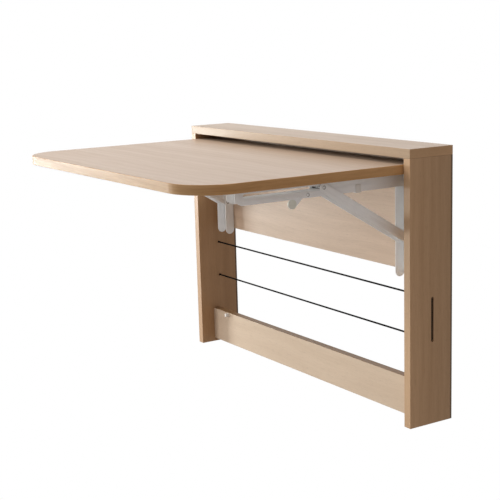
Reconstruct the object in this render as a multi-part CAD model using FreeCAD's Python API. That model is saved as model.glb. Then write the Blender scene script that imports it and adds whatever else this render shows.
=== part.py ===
import FreeCAD, Part
import math
import os

# Wall-mounted folding laptop table, in millimetres.
# X runs along the wall, Y into the wall (the wall is the plane Y = 0) and Z up.
# Heights are measured from the feet of the side panels while the pieces are made.
# Each saved piece is lowered so that the origin is the centre of the wall cleat's screw holes.

# Frame boards
board = 18.0
edge_easing = 0.8
frame_width = 800.0
frame_height = 536.0
frame_depth = 105.0
back_gap = 28.5
back_panel_height = 227.0
rail_setback = 34.6
rail_bottom = 8.4
rail_height = 76.6

# Tabletop
table_side_gap = 3.0
table_top_gap = 12.0
table_rear_gap = 3.2
table_depth = 500.0
table_corner_radius = 86.0
edge_band = 1.0
band_rounding_share = 0.9

# Hanging cleats behind the back panel
cleat_end_gap = 42.0
cleat_clearance = 1.0
wall_cleat_drop = 133.0
wall_cleat_height = 60.0
hook_cleat_top_gap = 2.0
wall_hole_radius = 2.75
wall_hole_end_margin = 60.0
wall_hole_spacing_z = 32.0
wall_hole_bottom_margin = 14.0
cleat_screw_count = 5
cleat_screw_end_margin = 60.0
cleat_screw_top_margin = 12.0
cleat_screw_bite = 12.0

# Dowels and cam fittings between the boards
dowel_radius = 4.0
dowel_length = 30.0
dowel_panel_depth = 12.0
cam_radius = 7.5
cam_depth = 12.5
cam_distance = 24.0
cam_bolt_radius = 3.0
cam_bolt_panel_depth = 11.0
cam_cross_width = 1.4
cam_cross_length = 8.0
cam_cross_depth = 2.5
rail_dowel_margin = 16.0
back_dowel_margin = 30.0
back_cam_margin = 62.0
top_dowel_margin = 22.0
top_cam_margin = 1.5

# Elastic cord with its groove and knots
cord_radius = 1.85
cord_setback = 55.0
cord_drop = 42.6
cord_spacing = 82.0
cord_bend_radius = 3.0
cord_hole_radius = 2.8
groove_width = 6.0
groove_depth = 5.5
groove_end_margin = 3.4
knot_pocket_radius = 5.0
knot_pocket_depth = 9.0
knot_radius = 3.9
knot_face_margin = 0.22

# Bumper on the rail
bumper_radius = 4.0
bumper_length = 9.1
bumper_stem_radius = 1.6
bumper_stem_length = 7.0
bumper_side_gap = 66.6
bumper_top_margin = 5.5
bumper_rounding = 1.0

# Folding brackets
bracket_side_gap = 49.3
sheet = 1.5
wall_arm_width = 38.0
strut_side_gap = 0.5
table_arm_side_gap = 1.5
hinge_drop = 8.0
hinge_setback = 25.3
ear_top_gap = 0.5
ear_gusset = 22.0
pin_radius = 3.0
pin_head_radius = 5.0
pin_head = 1.5
running_gap = 0.05
bush_radius = 5.5
bush_gap = 0.15

wall_arm_depth = 22.5
wall_arm_drop = 201.5

table_arm_depth = 27.5
table_arm_end_margin = 20.8
table_arm_rear_reach = 7.5
table_arm_bevel_run = 13.0
table_arm_bevel_rise = 7.0
slot_drop = 4.0
slot_clearance = 0.15

strut_half_side = 9.0
strut_pivot_edge = 6.5
strut_pivot_drop = 124.0
slider_open = 191.5
slider_radius = 4.0
slider_end_gap = 0.3
rivet_head_radius = 4.5
rivet_head = 0.85
strut_end_rivet_radius = 2.5
strut_end_head = 1.2

# Latch lever
lever_sheet = 2.0
lever_tab_width = 4.0
lever_side_gap = 0.4
lever_pivot_gap = 33.7
lever_edge_margin = 5.5
lever_boss_radius = 4.0
lever_rivet_radius = 2.0
lever_rivet_head_radius = 4.5
lever_rivet_head = 1.1
lever_nose_gap = 0.6
lever_neck_low = 2.4
lever_neck_run = 8.5
lever_tab_radius = 8.5
lever_tab_run = 31.8
lever_tab_drop = 14.3
spring_radius = 3.4
spring_wire = 0.8
spring_length = 8.0
spring_gap = 0.3
spring_leg_radius = 0.3
spring_long_leg = 22.0
spring_short_leg = 14.0

# Plastic clip on the table arm
clip_run = 112.0
clip_width = 12.0
clip_wall = 1.2
clip_base = 2.0
clip_rise = 13.8

# Bracket screws
screw_radius = 2.0
screw_head_radius = 4.0
screw_head = 2.2
screw_bite = 12.0
screw_slot_width = 1.1
screw_slot_depth = 1.2
wall_screw_shares = (0.09, 0.3, 0.5, 0.89)
table_screw_shares = (0.106, 0.396, 0.692, 0.93)

overrun = 1.0

# Places worked out from the sizes above
half_width = frame_width / 2
panel_inner = half_width - board
bumper_x = bumper_side_gap - panel_inner
bracket_spread = panel_inner - bracket_side_gap
frame_front = -frame_depth
back_rear = -back_gap
back_front = back_rear - board
under_top = frame_height - board
back_panel_bottom = under_top - back_panel_height
rail_front = frame_front + rail_setback
rail_rear = rail_front + board
rail_top = rail_bottom + rail_height
table_top = under_top - table_top_gap
table_under = table_top - board
table_rear = back_front - table_rear_gap
table_front = table_rear - table_depth
table_half = panel_inner - table_side_gap
hinge_y = back_front - hinge_setback
hinge_z = table_under - hinge_drop
slot_z = hinge_z - slot_drop
ear_radius = hinge_drop - ear_top_gap
strut_width = wall_arm_width - (sheet + strut_side_gap) * 2
table_arm_width = strut_width - (sheet + table_arm_side_gap) * 2
strut_y = back_front - wall_arm_depth + strut_pivot_edge
strut_z = hinge_z - strut_pivot_drop
slider_y = hinge_y - slider_open
strut_length = math.hypot(slider_y - strut_y, slot_z - strut_z)
cord_y = -frame_depth + cord_setback
cord_upper_height = back_panel_bottom - cord_drop
cord_lower_height = cord_upper_height - cord_spacing
knot_face_radius = cord_radius + knot_face_margin
knot_length = math.sqrt(knot_radius ** 2 - knot_face_radius ** 2) * 2
cleat_length = frame_width - (board + cleat_end_gap) * 2
wall_cleat_bottom = under_top - wall_cleat_drop
cleat_rows_centre = wall_cleat_bottom + wall_hole_bottom_margin + wall_hole_spacing_z / 2
# Folded, the strut hangs from its pivot to the slot, which then stands in front of the hinge pin
slot_folded_y = hinge_y + slot_drop
strut_hang = math.sqrt(strut_length ** 2 - (slot_folded_y - strut_y) ** 2)
slider_closed = strut_pivot_drop + strut_hang
table_arm_end = slider_closed + table_arm_end_margin


def block(x_range, y_range, z_range):
    """A box between two places on each axis."""
    low = FreeCAD.Vector(min(x_range), min(y_range), min(z_range))
    high = FreeCAD.Vector(max(x_range), max(y_range), max(z_range))
    size = high - low
    return Part.makeBox(size.x, size.y, size.z, low)


def rod_x(x_range, y, z, radius):
    """A round bar along X."""
    start = min(x_range)
    length = max(x_range) - start
    return Part.makeCylinder(radius, length, FreeCAD.Vector(start, y, z), FreeCAD.Vector(1, 0, 0))


def rod_y(y_range, x, z, radius):
    """A round bar along Y."""
    start = min(y_range)
    length = max(y_range) - start
    return Part.makeCylinder(radius, length, FreeCAD.Vector(x, start, z), FreeCAD.Vector(0, 1, 0))


def rod_z(z_range, x, y, radius):
    """A round bar along Z."""
    start = min(z_range)
    length = max(z_range) - start
    return Part.makeCylinder(radius, length, FreeCAD.Vector(x, y, start), FreeCAD.Vector(0, 0, 1))


def plate_x(x_range, points):
    """A flat plate with a polygon outline of (y, z) points, thick along X."""
    start = min(x_range)
    corners = [FreeCAD.Vector(start, y, z) for y, z in points]
    face = Part.Face(Part.makePolygon(corners + corners[:1]))
    return face.extrude(FreeCAD.Vector(max(x_range) - start, 0, 0))


def link_x(x_range, start, end, radius):
    """A bar with round ends between two (y, z) places, thick along X."""
    run = end[0] - start[0]
    rise = end[1] - start[1]
    length = math.hypot(run, rise)
    side_y = -rise / length * radius
    side_z = run / length * radius
    corners = [(start[0] + side_y, start[1] + side_z), (end[0] + side_y, end[1] + side_z),
               (end[0] - side_y, end[1] - side_z), (start[0] - side_y, start[1] - side_z)]
    bar = plate_x(x_range, corners)
    ends = [rod_x(x_range, place[0], place[1], radius) for place in (start, end)]
    return bar.fuse(ends).removeSplitter()


def both_sides(near, far):
    """The two ranges along X between two distances from a bracket's middle."""
    return [(-far, -near), (near, far)]


def group(solids):
    """Separate solids kept as one piece of several."""
    return Part.makeCompound(solids)


def save(name, shape):
    """Lower a piece to the origin of the object and write its file."""
    placed = shape.copy()
    placed.translate(FreeCAD.Vector(0, 0, -cleat_rows_centre))
    placed.exportStep("parts/%s.step" % name)


# Dowels, cam bolts and cam locks. Each function gives the fastener and the hole that takes it.

def dowel_along_x(side, y, z):
    """A dowel from a cross board's end into a side panel."""
    panel_end = side * (panel_inner + dowel_panel_depth)
    board_end = side * (panel_inner + dowel_panel_depth - dowel_length)
    place = (panel_end, board_end)
    return rod_x(place, y, z, dowel_radius), rod_x(place, y, z, dowel_radius + running_gap)


def dowel_along_z(side, y):
    """A dowel from the top of a side panel into the top board."""
    x = side * (half_width - board / 2)
    place = (under_top + dowel_panel_depth, under_top + dowel_panel_depth - dowel_length)
    return rod_z(place, x, y, dowel_radius), rod_z(place, x, y, dowel_radius + running_gap)


def cross_mark(cam_centre_x, face_y, z):
    """The cross recess in a cam lock's face, which looks at the wall."""
    depth = (face_y - cam_cross_depth, face_y + overrun)
    half_long = cam_cross_length / 2
    half_wide = cam_cross_width / 2
    flat = block((cam_centre_x - half_long, cam_centre_x + half_long), depth, (z - half_wide, z + half_wide))
    tall = block((cam_centre_x - half_wide, cam_centre_x + half_wide), depth, (z - half_long, z + half_long))
    return flat.fuse(tall)


def cam_fitting(side, rear_y, z):
    """A cam bolt out of a side panel and the cam lock in a cross board's rear face."""
    middle_y = rear_y - board / 2
    cam_x = side * (panel_inner - cam_distance)
    bolt_range = (side * (panel_inner + cam_bolt_panel_depth), cam_x)
    bolt = rod_x(bolt_range, middle_y, z, cam_bolt_radius)
    bolt_hole = rod_x(bolt_range, middle_y, z, cam_bolt_radius + running_gap)
    cam = rod_y((rear_y, rear_y - cam_depth), cam_x, z, cam_radius)
    cam_hole = rod_y((rear_y + overrun, rear_y - cam_depth), cam_x, z, cam_radius + running_gap)
    bolt_way = (cam_x - side * cam_bolt_radius, cam_x + side * (cam_radius + overrun))
    cam = cam.cut(rod_x(bolt_way, middle_y, z, cam_bolt_radius + running_gap))
    cam = cam.cut(cross_mark(cam_x, rear_y, z))
    return bolt, cam, [bolt_hole, cam_hole]


def top_cam_fitting(side):
    """A cam bolt down from the top board and the cam lock in a side panel's inner face."""
    middle_x = side * (half_width - board / 2)
    y = back_front - top_cam_margin - cam_radius
    cam_z = under_top - cam_distance
    bolt_range = (under_top + cam_bolt_panel_depth, cam_z)
    bolt = rod_z(bolt_range, middle_x, y, cam_bolt_radius)
    bolt_hole = rod_z(bolt_range, middle_x, y, cam_bolt_radius + running_gap)
    cam_range = (side * panel_inner, side * (panel_inner + cam_depth))
    cam = rod_x(cam_range, y, cam_z, cam_radius)
    hole_range = (side * (panel_inner - overrun), side * (panel_inner + cam_depth))
    cam_hole = rod_x(hole_range, y, cam_z, cam_radius + running_gap)
    bolt_way = (cam_z - cam_bolt_radius, cam_z + cam_radius + overrun)
    cam = cam.cut(rod_z(bolt_way, middle_x, y, cam_bolt_radius + running_gap))
    return bolt, cam, [bolt_hole, cam_hole]


def frame_fasteners():
    """All dowels, cam bolts and cam locks of the frame, and their holes."""
    dowels = []
    bolts = []
    cams = []
    holes = []
    rail_middle = rail_front + board / 2
    back_middle = back_rear - board / 2
    rail_dowels = [rail_bottom + rail_dowel_margin, rail_top - rail_dowel_margin]
    back_dowels = [back_panel_bottom + back_dowel_margin, under_top - back_dowel_margin]
    back_cams = [back_panel_bottom + back_cam_margin, under_top - back_cam_margin]
    for side in (-1, 1):
        made = [dowel_along_x(side, rail_middle, z) for z in rail_dowels]
        made += [dowel_along_x(side, back_middle, z) for z in back_dowels]
        made += [dowel_along_z(side, y) for y in (frame_front + top_dowel_margin, -top_dowel_margin)]
        dowels += [pair[0] for pair in made]
        holes += [pair[1] for pair in made]
        fittings = [cam_fitting(side, rail_rear, rail_bottom + rail_height / 2)]
        fittings += [cam_fitting(side, back_rear, z) for z in back_cams]
        fittings.append(top_cam_fitting(side))
        for bolt, cam, ways in fittings:
            bolts.append(bolt)
            cams.append(cam)
            holes += ways
    return dowels, bolts, cams, group(holes)


# Frame boards

def long_edges(slab, length):
    """The edges of a board along X."""
    return [edge for edge in slab.Edges if edge.BoundBox.XLength > length / 2]


def top_board(holes):
    """The board that lies on both side panels, with all its edges eased."""
    slab = block((-half_width, half_width), (frame_front, 0), (under_top, frame_height))
    return slab.makeFillet(edge_easing, slab.Edges).cut(holes)


def side_panel(side, holes):
    """A side panel: the right one has the cord's groove, the left one the pockets of its knots."""
    slab = block((side * panel_inner, side * half_width), (frame_front, 0), (0, under_top))
    eased = [edge for edge in slab.Edges if edge.BoundBox.ZMin < under_top / 2]
    slab = slab.makeFillet(edge_easing, eased).cut(holes)
    heights = (cord_upper_height, cord_lower_height)
    if side > 0:
        half = groove_width / 2
        reach = (half_width - groove_depth, half_width + overrun)
        low = (cord_y, cord_lower_height - groove_end_margin + half)
        high = (cord_y, cord_upper_height + groove_end_margin - half)
        slab = slab.cut(link_x(reach, low, high, half))
        through = (panel_inner - overrun, half_width - groove_depth + overrun)
        return slab.cut([rod_x(through, cord_y, z, cord_hole_radius) for z in heights])
    pocket = (-half_width - overrun, -half_width + knot_pocket_depth)
    through = (-half_width, -panel_inner + overrun)
    slab = slab.cut([rod_x(pocket, cord_y, z, knot_pocket_radius) for z in heights])
    return slab.cut([rod_x(through, cord_y, z, cord_hole_radius) for z in heights])


def back_panel(holes, screw_holes):
    """The recessed panel that carries both brackets and the hanging cleat."""
    slab = block((-panel_inner, panel_inner), (back_front, back_rear), (back_panel_bottom, under_top))
    eased = [edge for edge in long_edges(slab, panel_inner) if edge.BoundBox.ZMax < hinge_z]
    return slab.makeFillet(edge_easing, eased).cut(holes).cut(screw_holes)


def bottom_rail(holes, stem_hole):
    """The rail between the side panels' feet."""
    slab = block((-panel_inner, panel_inner), (rail_front, rail_rear), (rail_bottom, rail_top))
    return slab.makeFillet(edge_easing, long_edges(slab, panel_inner)).cut(holes).cut(stem_hole)


# Hanging cleats

def wall_cleat():
    """The batten that is screwed to the wall, with its top sloping down towards the wall."""
    front = back_rear + cleat_clearance
    rear_top = wall_cleat_bottom + wall_cleat_height
    outline = [(0, wall_cleat_bottom), (front, wall_cleat_bottom), (front, rear_top - front), (0, rear_top)]
    batten = plate_x((-cleat_length / 2, cleat_length / 2), outline)
    rows = [cleat_rows_centre - wall_hole_spacing_z / 2, cleat_rows_centre + wall_hole_spacing_z / 2]
    column = cleat_length / 2 - wall_hole_end_margin
    columns = [-column, column]
    through = (front - overrun, overrun)
    return batten.cut([rod_y(through, x, z, wall_hole_radius) for x in columns for z in rows])


def hook_cleat(screw_holes):
    """The batten on the back panel's rear face, which hooks over the wall cleat."""
    rear = -cleat_clearance
    top = under_top - hook_cleat_top_gap
    foot = wall_cleat_bottom + wall_cleat_height
    outline = [(back_rear, foot - back_rear), (rear, foot - rear), (rear, top), (back_rear, top)]
    return plate_x((-cleat_length / 2, cleat_length / 2), outline).cut(screw_holes)


def cleat_screws():
    """Countersunk screws through the hook cleat into the back panel, and their holes."""
    z = under_top - hook_cleat_top_gap - cleat_screw_top_margin
    first = -cleat_length / 2 + cleat_screw_end_margin
    pitch = -first / (cleat_screw_count - 1) * 2
    tip = back_rear - cleat_screw_bite
    rear = -cleat_clearance
    screws = []
    holes = []
    for index in range(cleat_screw_count):
        x = first + index * pitch
        head_start = FreeCAD.Vector(x, rear, z)
        inwards = FreeCAD.Vector(0, -1, 0)
        head = Part.makeCone(screw_head_radius, screw_radius, screw_head, head_start, inwards)
        screws.append(rod_y((tip, rear), x, z, screw_radius).fuse(head).removeSplitter())
        wide = screw_head_radius + running_gap
        narrow = screw_radius + running_gap
        sink = Part.makeCone(wide, narrow, screw_head, head_start, inwards)
        holes.append(rod_y((tip, rear + overrun), x, z, narrow).fuse(sink))
    return group(screws), group(holes)


# Elastic cord

def cord_path():
    """The cord's middle line: out along the upper run, down the groove and back along the lower run."""
    start = -half_width + knot_pocket_depth
    turn = half_width - groove_depth
    far = turn + cord_bend_radius
    bend = cord_bend_radius * math.sqrt(2) / 2
    upper = cord_upper_height
    lower = cord_lower_height
    upper_middle = FreeCAD.Vector(turn + bend, cord_y, upper - cord_bend_radius + bend)
    lower_middle = FreeCAD.Vector(turn + bend, cord_y, lower + cord_bend_radius - bend)
    points = [FreeCAD.Vector(start, cord_y, upper), FreeCAD.Vector(turn, cord_y, upper),
              FreeCAD.Vector(far, cord_y, upper - cord_bend_radius),
              FreeCAD.Vector(far, cord_y, lower + cord_bend_radius),
              FreeCAD.Vector(turn, cord_y, lower), FreeCAD.Vector(start, cord_y, lower)]
    edges = [Part.LineSegment(points[0], points[1]).toShape(),
             Part.Arc(points[1], upper_middle, points[2]).toShape(),
             Part.LineSegment(points[2], points[3]).toShape(),
             Part.Arc(points[3], lower_middle, points[4]).toShape(),
             Part.LineSegment(points[4], points[5]).toShape()]
    return Part.Wire(edges)


def elastic_cord():
    """One round cord along its whole route."""
    path = cord_path()
    start = path.Vertexes[0].Point
    section = Part.Wire(Part.makeCircle(cord_radius, start, FreeCAD.Vector(1, 0, 0)))
    cord = path.makePipeShell([section], True, False)
    expected = math.pi * cord_radius ** 2 * path.Length
    print("cord length %.1f, volume share %.4f" % (path.Length, cord.Volume / expected))
    return cord


def cord_knots():
    """The two knots that stop the cord's ends in the left panel."""
    middle = -half_width + knot_pocket_depth - knot_length / 2
    cap = math.degrees(math.acos(knot_face_radius / knot_radius))
    along = FreeCAD.Vector(1, 0, 0)
    centres = [FreeCAD.Vector(middle, cord_y, z) for z in (cord_upper_height, cord_lower_height)]
    return group([Part.makeSphere(knot_radius, centre, along, -cap, cap, 360) for centre in centres])


# Rail bumper

def bumper_height():
    """The height of the bumper's middle."""
    return rail_top - bumper_top_margin


def rail_bumper():
    """A round bumper with a stem that is pressed into the rail near its left end."""
    z = bumper_height()
    head = rod_y((rail_front - bumper_length, rail_front), bumper_x, z, bumper_radius)
    front_edge = [edge for edge in head.Edges if edge.BoundBox.YMax < rail_front - bumper_length / 2]
    head = head.makeFillet(bumper_rounding, front_edge)
    stem = rod_y((rail_front, rail_front + bumper_stem_length), bumper_x, z, bumper_stem_radius)
    return head.fuse(stem).removeSplitter()


def bumper_stem_hole():
    """The hole of the bumper's stem in the rail."""
    depth = (rail_front - overrun, rail_front + bumper_stem_length)
    return rod_y(depth, bumper_x, bumper_height(), bumper_stem_radius + running_gap)


# Tabletop

def table_outline(inset):
    """A slab of the tabletop's plan, drawn in by an even inset, with round front corners."""
    radius = table_corner_radius - inset
    right = table_half - inset
    front = table_front + inset
    rear = table_rear - inset
    z_range = (table_under, table_top)
    body = block((-right, right), (front + radius, rear), z_range)
    nose = block((-right + radius, right - radius), (front, front + radius), z_range)
    corners = [rod_z(z_range, side * (right - radius), front + radius, radius) for side in (-1, 1)]
    return body.fuse([nose] + corners).removeSplitter()


def tabletop(screw_holes):
    """The board inside its edge band."""
    return table_outline(edge_band).cut(screw_holes)


def tabletop_edge_band():
    """The band glued round the tabletop's edge, with its outer edges eased."""
    outer = table_outline(0)
    near_face = edge_band / 2
    rim = [edge for edge in outer.Edges
           if edge.BoundBox.ZLength < near_face]
    outer = outer.makeFillet(edge_band * band_rounding_share, rim)
    return outer.cut(table_outline(edge_band))


# Folding bracket pieces, made about the plane X = 0 with the side panel towards +X.
# The right bracket is moved to its place and the left one is its mirror image.

def wall_arm():
    """The channel on the back panel, with an ear for the hinge pin at its top."""
    half = wall_arm_width / 2
    inner = half - sheet
    front = back_front - wall_arm_depth
    bottom = hinge_z - wall_arm_drop
    round_radius = wall_arm_depth / 2
    top = hinge_z + ear_radius
    flanges = []
    for x_range in both_sides(inner, half):
        blade = block(x_range, (front, back_front), (bottom + round_radius, top))
        foot = rod_x(x_range, front + round_radius, bottom + round_radius, round_radius)
        ear = rod_x(x_range, hinge_y, hinge_z, ear_radius)
        gusset = plate_x(x_range, [(hinge_y - ear_radius, hinge_z), (front, hinge_z - ear_gusset),
                                   (back_front, hinge_z - ear_gusset), (back_front, hinge_z)])
        flanges += [blade, foot, ear, gusset]
    web = block((-half, half), (back_front - sheet, back_front), (bottom + round_radius, top))
    arm = web.fuse(flanges).removeSplitter()
    bends = [edge for edge in arm.Edges
             if edge.BoundBox.ZLength > strut_pivot_drop
             and abs(edge.BoundBox.YMax - back_front) < running_gap
             and abs(abs(edge.BoundBox.XMax) - half) < running_gap]
    arm = arm.makeFillet(sheet / 2, bends)
    across = (-half - overrun, half + overrun)
    pin_holes = [rod_x(across, hinge_y, hinge_z, pin_radius + running_gap),
                 rod_x(across, strut_y, strut_z, pin_radius + running_gap)]
    through = (back_front - sheet - overrun, back_front + overrun)
    screw_holes = [rod_y(through, 0, z, screw_radius + running_gap) for z in wall_screw_heights()]
    return arm.cut(pin_holes + screw_holes)


def table_arm_outline():
    """The side view of the table arm: a bevelled outer end and a clipped rear corner."""
    under = table_under - table_arm_depth
    outer = hinge_y - table_arm_end
    rear = hinge_y + table_arm_rear_reach
    return [(outer, table_under), (outer, under + table_arm_bevel_rise), (outer + table_arm_bevel_run, under),
            (rear - table_arm_rear_reach, under), (rear, under + table_arm_rear_reach), (rear, table_under)]


def table_arm():
    """The channel under the tabletop, with a slot for the slider pin in each flange."""
    half = table_arm_width / 2
    inner = half - sheet
    outer_end = hinge_y - table_arm_end
    rear_end = hinge_y + table_arm_rear_reach
    flanges = [plate_x(x_range, table_arm_outline()) for x_range in both_sides(inner, half)]
    web = block((-half, half), (outer_end, rear_end), (table_under - sheet, table_under))
    arm = web.fuse(flanges).removeSplitter()
    bends = [edge for edge in arm.Edges
             if edge.BoundBox.YLength > slider_open and abs(edge.BoundBox.ZMin - table_under) < running_gap]
    arm = arm.makeFillet(sheet / 2, bends)
    across = (-half - overrun, half + overrun)
    slot_rear = (hinge_y - slider_closed, slot_z)
    slot = link_x(across, (slider_y, slot_z), slot_rear, slider_radius + slot_clearance)
    lever_hole = rod_x(across, lever_y(), lever_z(), lever_rivet_radius + running_gap)
    pin_hole = rod_x(across, hinge_y, hinge_z, pin_radius + running_gap)
    through = (table_under - sheet - overrun, table_under + overrun)
    screw_holes = [rod_z(through, 0, y, screw_radius + running_gap) for y in table_screw_places()]
    return arm.cut([slot, lever_hole, pin_hole] + screw_holes)


def strut_bar(side):
    """One of the two flat bars of the strut, beside the middle of the bracket."""
    half = strut_width / 2
    x_range = (side * (half - sheet), side * half)
    bar = link_x(x_range, (strut_y, strut_z), (slider_y, slot_z), strut_half_side)
    across = (-half - overrun, half + overrun)
    pivot_hole = rod_x(across, strut_y, strut_z, pin_radius + running_gap)
    end_hole = rod_x(across, slider_y, slot_z, strut_end_rivet_radius + running_gap)
    return bar.cut([pivot_hole, end_hole])


def strut_end_rivets():
    """The riveted ends of the upper pin, one in each bar."""
    half = strut_width / 2
    rivets = []
    for side in (-1, 1):
        shank = rod_x((side * (half - sheet), side * half), slider_y, slot_z, strut_end_rivet_radius)
        head = rod_x((side * half, side * (half + strut_end_head)), slider_y, slot_z, rivet_head_radius)
        rivets.append(shank.fuse(head).removeSplitter())
    return group(rivets)


def strut_pivot_rivets():
    """The two short rivets of the strut's lower pivot, which leave the channel's middle free."""
    bar_face = strut_width / 2
    outside = wall_arm_width / 2
    inside = bar_face - sheet - running_gap
    rivets = []
    for side in (-1, 1):
        shank = rod_x((side * inside, side * outside), strut_y, strut_z, pin_radius)
        flat_head = rod_x((side * (inside - rivet_head), side * inside), strut_y, strut_z, rivet_head_radius)
        head = rod_x((side * outside, side * (outside + pin_head)), strut_y, strut_z, pin_head_radius)
        rivets.append(shank.fuse([flat_head, head]).removeSplitter())
    return group(rivets)


def hinge_pin():
    """The pin of the main hinge, with a head on each side of the wall arm."""
    half = wall_arm_width / 2
    shank = rod_x((-half, half), hinge_y, hinge_z, pin_radius)
    heads = [rod_x(x_range, hinge_y, hinge_z, pin_head_radius)
             for x_range in both_sides(half, half + pin_head)]
    return shank.fuse(heads).removeSplitter()


def hinge_bushes():
    """The spacer bushes between the two arms on the hinge pin."""
    inner = table_arm_width / 2 + bush_gap
    outer = wall_arm_width / 2 - sheet - bush_gap
    bushes = []
    for x_range in both_sides(inner, outer):
        ring = rod_x(x_range, hinge_y, hinge_z, bush_radius)
        bushes.append(ring.cut(rod_x((-outer - overrun, outer + overrun), hinge_y, hinge_z,
                                     pin_radius + running_gap)))
    return group(bushes)


def slider_pin():
    """The pin that runs in the table arm's slots."""
    half = strut_width / 2 - sheet - slider_end_gap
    return rod_x((-half, half), slider_y, slot_z, slider_radius)


def lever_y():
    """The latch lever's pivot along Y."""
    return slider_y - lever_pivot_gap


def lever_z():
    """The latch lever's pivot height."""
    return table_under - table_arm_depth + lever_edge_margin


def lever_outline():
    """The side view of the latch lever without its round tab: nose, neck and arm to the thumb tab."""
    y = lever_y()
    z = lever_z()
    nose = slider_y - slider_radius - lever_nose_gap
    top = z + lever_boss_radius
    tab_y = y - lever_tab_run
    tab_z = z - lever_tab_drop
    lean = lever_tab_radius * math.sqrt(2) / 2
    upper = [(nose, top), (y - lever_boss_radius, top), (tab_y - lean, tab_z + lean)]
    lower = [(tab_y + lean, tab_z - lean), (y - lever_neck_run, z - lever_boss_radius),
             (y, z - lever_boss_radius), (nose, z - lever_neck_low)]
    return upper + lower


def latch_lever():
    """The lever of thick sheet beside the table arm's outboard flange, with a thicker round thumb tab."""
    outer = table_arm_width / 2 - sheet - lever_side_gap
    inner = outer - lever_sheet
    tab_y = lever_y() - lever_tab_run
    tab_z = lever_z() - lever_tab_drop
    blade = plate_x((inner, outer), lever_outline())
    boss = rod_x((inner, outer), lever_y(), lever_z(), lever_boss_radius)
    tab = rod_x((outer - lever_tab_width, outer), tab_y, tab_z, lever_tab_radius)
    lever = blade.fuse([boss, tab]).removeSplitter()
    across = (-outer - overrun, outer + overrun)
    return lever.cut(rod_x(across, lever_y(), lever_z(), lever_rivet_radius + running_gap))


def lever_rivet():
    """The rivet on which the latch lever turns."""
    half = table_arm_width / 2
    shank = rod_x((-half, half), lever_y(), lever_z(), lever_rivet_radius)
    heads = [rod_x(x_range, lever_y(), lever_z(), lever_rivet_head_radius)
             for x_range in both_sides(half, half + lever_rivet_head)]
    return shank.fuse(heads).removeSplitter()


def lever_spring():
    """The latch lever's torsion spring: its coil as a sleeve, with a leg at each end."""
    y = lever_y()
    z = lever_z()
    far = table_arm_width / 2 - sheet - lever_side_gap - lever_sheet - spring_gap
    near = far - spring_length
    wire = spring_wire / 2
    low = z - spring_radius + wire
    sleeve = rod_x((near, far), y, z, spring_radius)
    long_leg = rod_y((y - spring_long_leg, y), far - wire, low, spring_leg_radius)
    short_leg = rod_y((y, y + spring_short_leg), near + wire, low, spring_leg_radius)
    bore = rod_x((near - overrun, far + overrun), y, z, spring_radius - spring_wire)
    return sleeve.fuse([long_leg, short_leg]).cut(bore).removeSplitter()


def arm_clip():
    """The plastic clip pushed over the table arm from below."""
    half = table_arm_width / 2
    under = table_under - table_arm_depth
    y_range = (hinge_y - clip_run - clip_width / 2, hinge_y - clip_run + clip_width / 2)
    outside = block((-half - clip_wall, half + clip_wall), y_range, (under - clip_base, under + clip_rise))
    return outside.cut(block((-half, half), (y_range[0] - overrun, y_range[1] + overrun),
                             (under, under + clip_rise + overrun)))


# Bracket screws

def wall_screw_heights():
    """The heights of the wall arm's screws."""
    return [hinge_z - wall_arm_drop * share for share in wall_screw_shares]


def table_screw_places():
    """The places of the table arm's screws along Y."""
    return [hinge_y - table_arm_end * share for share in table_screw_shares]


def wall_arm_screws():
    """Screws through both wall arms into the back panel, and their holes in the panel."""
    screws = []
    holes = []
    face = back_front - sheet
    tip = back_front + screw_bite
    for side in (-1, 1):
        x = side * bracket_spread
        for z in wall_screw_heights():
            head = rod_y((face - screw_head, face), x, z, screw_head_radius)
            half = screw_slot_width / 2
            depth = (face - screw_head - overrun, face - screw_head + screw_slot_depth)
            slot = block((x - screw_head_radius, x + screw_head_radius), depth, (z - half, z + half))
            screws.append(head.cut(slot).fuse(rod_y((face, tip), x, z, screw_radius)).removeSplitter())
            holes.append(rod_y((back_front - overrun, tip), x, z, screw_radius + running_gap))
    return group(screws), group(holes)


def table_arm_screws():
    """Screws through both table arms into the tabletop, and their holes in the tabletop."""
    screws = []
    holes = []
    face = table_under - sheet
    tip = table_under + screw_bite
    for side in (-1, 1):
        x = side * bracket_spread
        for y in table_screw_places():
            head = rod_z((face - screw_head, face), x, y, screw_head_radius)
            half = screw_slot_width / 2
            slot = block((x - half, x + half), (y - screw_head_radius, y + screw_head_radius),
                         (face - screw_head - overrun, face - screw_head + screw_slot_depth))
            screws.append(head.cut(slot).fuse(rod_z((face, tip), x, y, screw_radius)).removeSplitter())
            holes.append(rod_z((table_under - overrun, tip), x, y, screw_radius + running_gap))
    return group(screws), group(holes)


os.makedirs("parts", exist_ok=True)

dowels, cam_bolts, cam_locks, fastener_holes = frame_fasteners()
hook_screws, hook_screw_holes = cleat_screws()
wall_screws, wall_screw_holes = wall_arm_screws()
table_screws, table_screw_holes = table_arm_screws()

save("top_board", top_board(fastener_holes))
save("left_side_panel", side_panel(-1, fastener_holes))
save("right_side_panel", side_panel(1, fastener_holes))
save("back_panel", back_panel(fastener_holes, group([wall_screw_holes, hook_screw_holes])))
save("bottom_rail", bottom_rail(fastener_holes, bumper_stem_hole()))
save("wall_cleat", wall_cleat())
save("hook_cleat", hook_cleat(hook_screw_holes))
save("cleat_screws", hook_screws)
save("wood_dowels", group(dowels))
save("cam_bolts", group(cam_bolts))
save("cam_locks", group(cam_locks))
save("elastic_cord", elastic_cord())
save("cord_knots", cord_knots())
save("rail_bumper", rail_bumper())
save("tabletop", tabletop(table_screw_holes))
save("tabletop_edge_band", tabletop_edge_band())
save("wall_arm_screws", wall_screws)
save("table_arm_screws", table_screws)

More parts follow.
